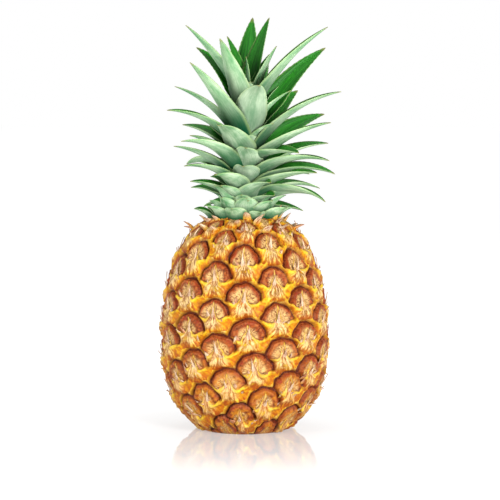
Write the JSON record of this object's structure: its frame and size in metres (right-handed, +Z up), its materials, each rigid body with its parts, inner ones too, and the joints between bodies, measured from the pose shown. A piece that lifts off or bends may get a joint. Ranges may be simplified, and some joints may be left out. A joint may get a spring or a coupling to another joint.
{
  "type": "pineapple",
  "caption": "Whole ripe pineapple standing on its cut base: barrel-shaped fruit with raised eyes and dry bract tips, and a tall crown of channelled pointed leaves.",
  "frame": {"origin": "centre of the flat base", "axes": "+Z up along the fruit towards the crown, -Y towards the side seen from the front"},
  "size_m": [0.1434, 0.1357, 0.3284],
  "materials": {
    "fruit_skin": "waxy, rust-brown eyes between yellow bracts",
    "stalk_cut": "dry, fibrous cut face",
    "crown_leaf": "grey-green leaf with a pale waxy bloom"
  },
  "bodies": {
    "root": {"fruit": "fruit_skin", "stalk": "stalk_cut", "crown": "crown_leaf"}
  },
  "joints": []
}
